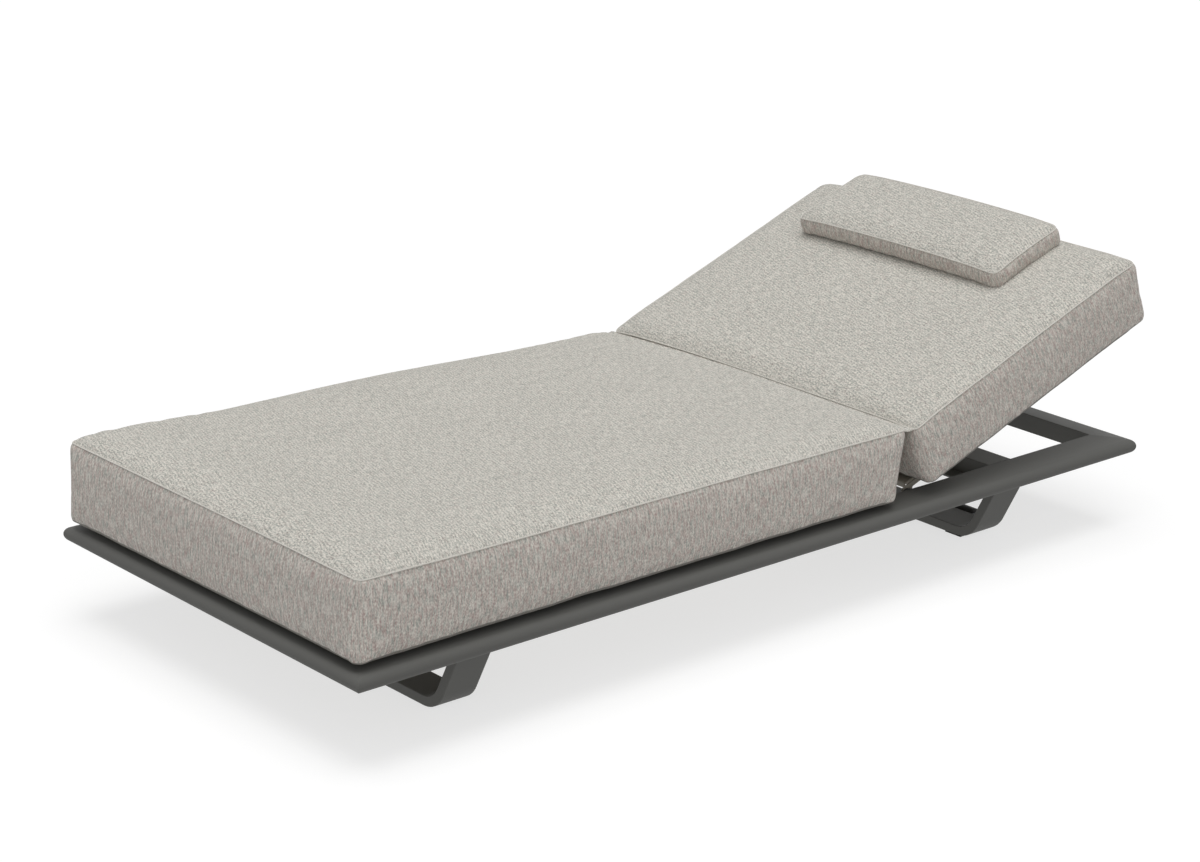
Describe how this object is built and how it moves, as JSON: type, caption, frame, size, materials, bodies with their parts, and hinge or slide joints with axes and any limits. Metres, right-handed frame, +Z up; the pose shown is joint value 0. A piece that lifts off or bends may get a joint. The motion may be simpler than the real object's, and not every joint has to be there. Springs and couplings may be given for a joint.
{
  "type": "spa relaxation lounger",
  "caption": "Low spa relaxation lounger: padded mattress with reclining back and flat head pillow on a dark rounded metal frame with bent sled feet.",
  "frame": {"origin": "on the floor, under the middle of the whole object's box", "axes": "+X along the lounger towards the head end, +Y across it away from the viewer of the picture, +Z up"},
  "size_m": [2.031, 0.98, 0.6243],
  "materials": {
    "frame": "matte",
    "deck": "matte",
    "upholstery": "matte",
    "black_rubber": "matte",
    "dark_nylon": "matte",
    "steel": "satin",
    "cast_metal": "satin"
  },
  "bodies": {
    "frame": {"near_rail": "frame", "far_rail": "frame", "head_rail": "frame", "foot_rail": "frame", "corner_keys": "cast_metal", "head_crossbar": "frame", "hinge_crossbar": "frame", "mid_crossbar": "frame", "foot_crossbar": "frame", "head_sled": "frame", "foot_sled": "frame", "heel_pads": "dark_nylon", "foot_glides": "dark_nylon", "roller_cheeks": "frame", "roller_axles": "steel", "seat_deck": "deck", "seat_pads": "black_rubber", "seat_screws": "steel", "recline_brackets": "steel", "recline_fittings": "steel", "recline_pins": "steel", "deck_buffers": "black_rubber", "seat_cushion": "upholstery"},
    "back": {"back_deck": "deck", "back_beam": "deck", "recline_arms": "deck"},
    "back_mattress": {"back_cushion": "upholstery"},
    "pillow": {"head_pillow": "upholstery"},
    "near_wheel": {"near_roller": "black_rubber"},
    "far_wheel": {"far_roller": "black_rubber"}
  },
  "joints": [
    {"name": "back_recline", "type": "hinge", "parent": "frame", "child": "back", "pos_m": [0.38448, 0, 0.172], "axis": [0, -1, 0], "range_deg": [-20, 25]},
    {"name": "mattress_slide", "type": "slide", "parent": "back", "child": "back_mattress", "axis": [0.9397, 0, 0.342], "range_m": [-0.068, 0.085]},
    {"name": "pillow_lift", "type": "slide", "parent": "back_mattress", "child": "pillow", "axis": [-0.342, 0, 0.9397], "range_m": [0, 0.12]},
    {"name": "near_wheel_spin", "type": "hinge", "parent": "frame", "child": "near_wheel", "pos_m": [0.72998, -0.246, 0.0145], "axis": [0, 1, 0], "continuous": true},
    {"name": "far_wheel_spin", "type": "hinge", "parent": "frame", "child": "far_wheel", "pos_m": [0.72998, 0.246, 0.0145], "axis": [0, 1, 0], "continuous": true}
  ],
  "couplings": [
    {"joint": "mattress_slide", "follows": "back_recline", "m_per_rad": 0.192}
  ]
}
